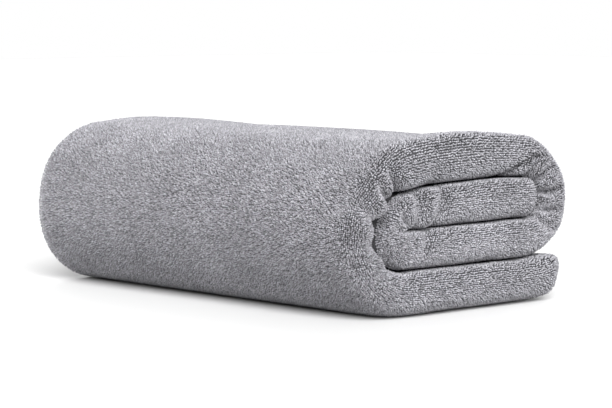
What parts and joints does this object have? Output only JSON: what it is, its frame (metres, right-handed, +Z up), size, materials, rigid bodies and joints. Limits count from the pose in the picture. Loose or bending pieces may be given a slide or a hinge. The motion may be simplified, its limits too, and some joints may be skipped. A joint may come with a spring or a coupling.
{
  "type": "rolled bath towel",
  "caption": "Grey looped terry bath towel, folded into a thick strip and rolled up flat, lying on its long side.",
  "frame": {"origin": "centre of the footprint of the lying roll, on the surface it rests on", "axes": "+X along the roll to the end with the rounded folds, +Z up, and the long outer bend faces -Y"},
  "size_m": [0.35, 0.2218, 0.124],
  "materials": {
    "terry": "looped cotton pile, matt"
  },
  "bodies": {
    "root": {"towel": "terry"}
  },
  "joints": []
}
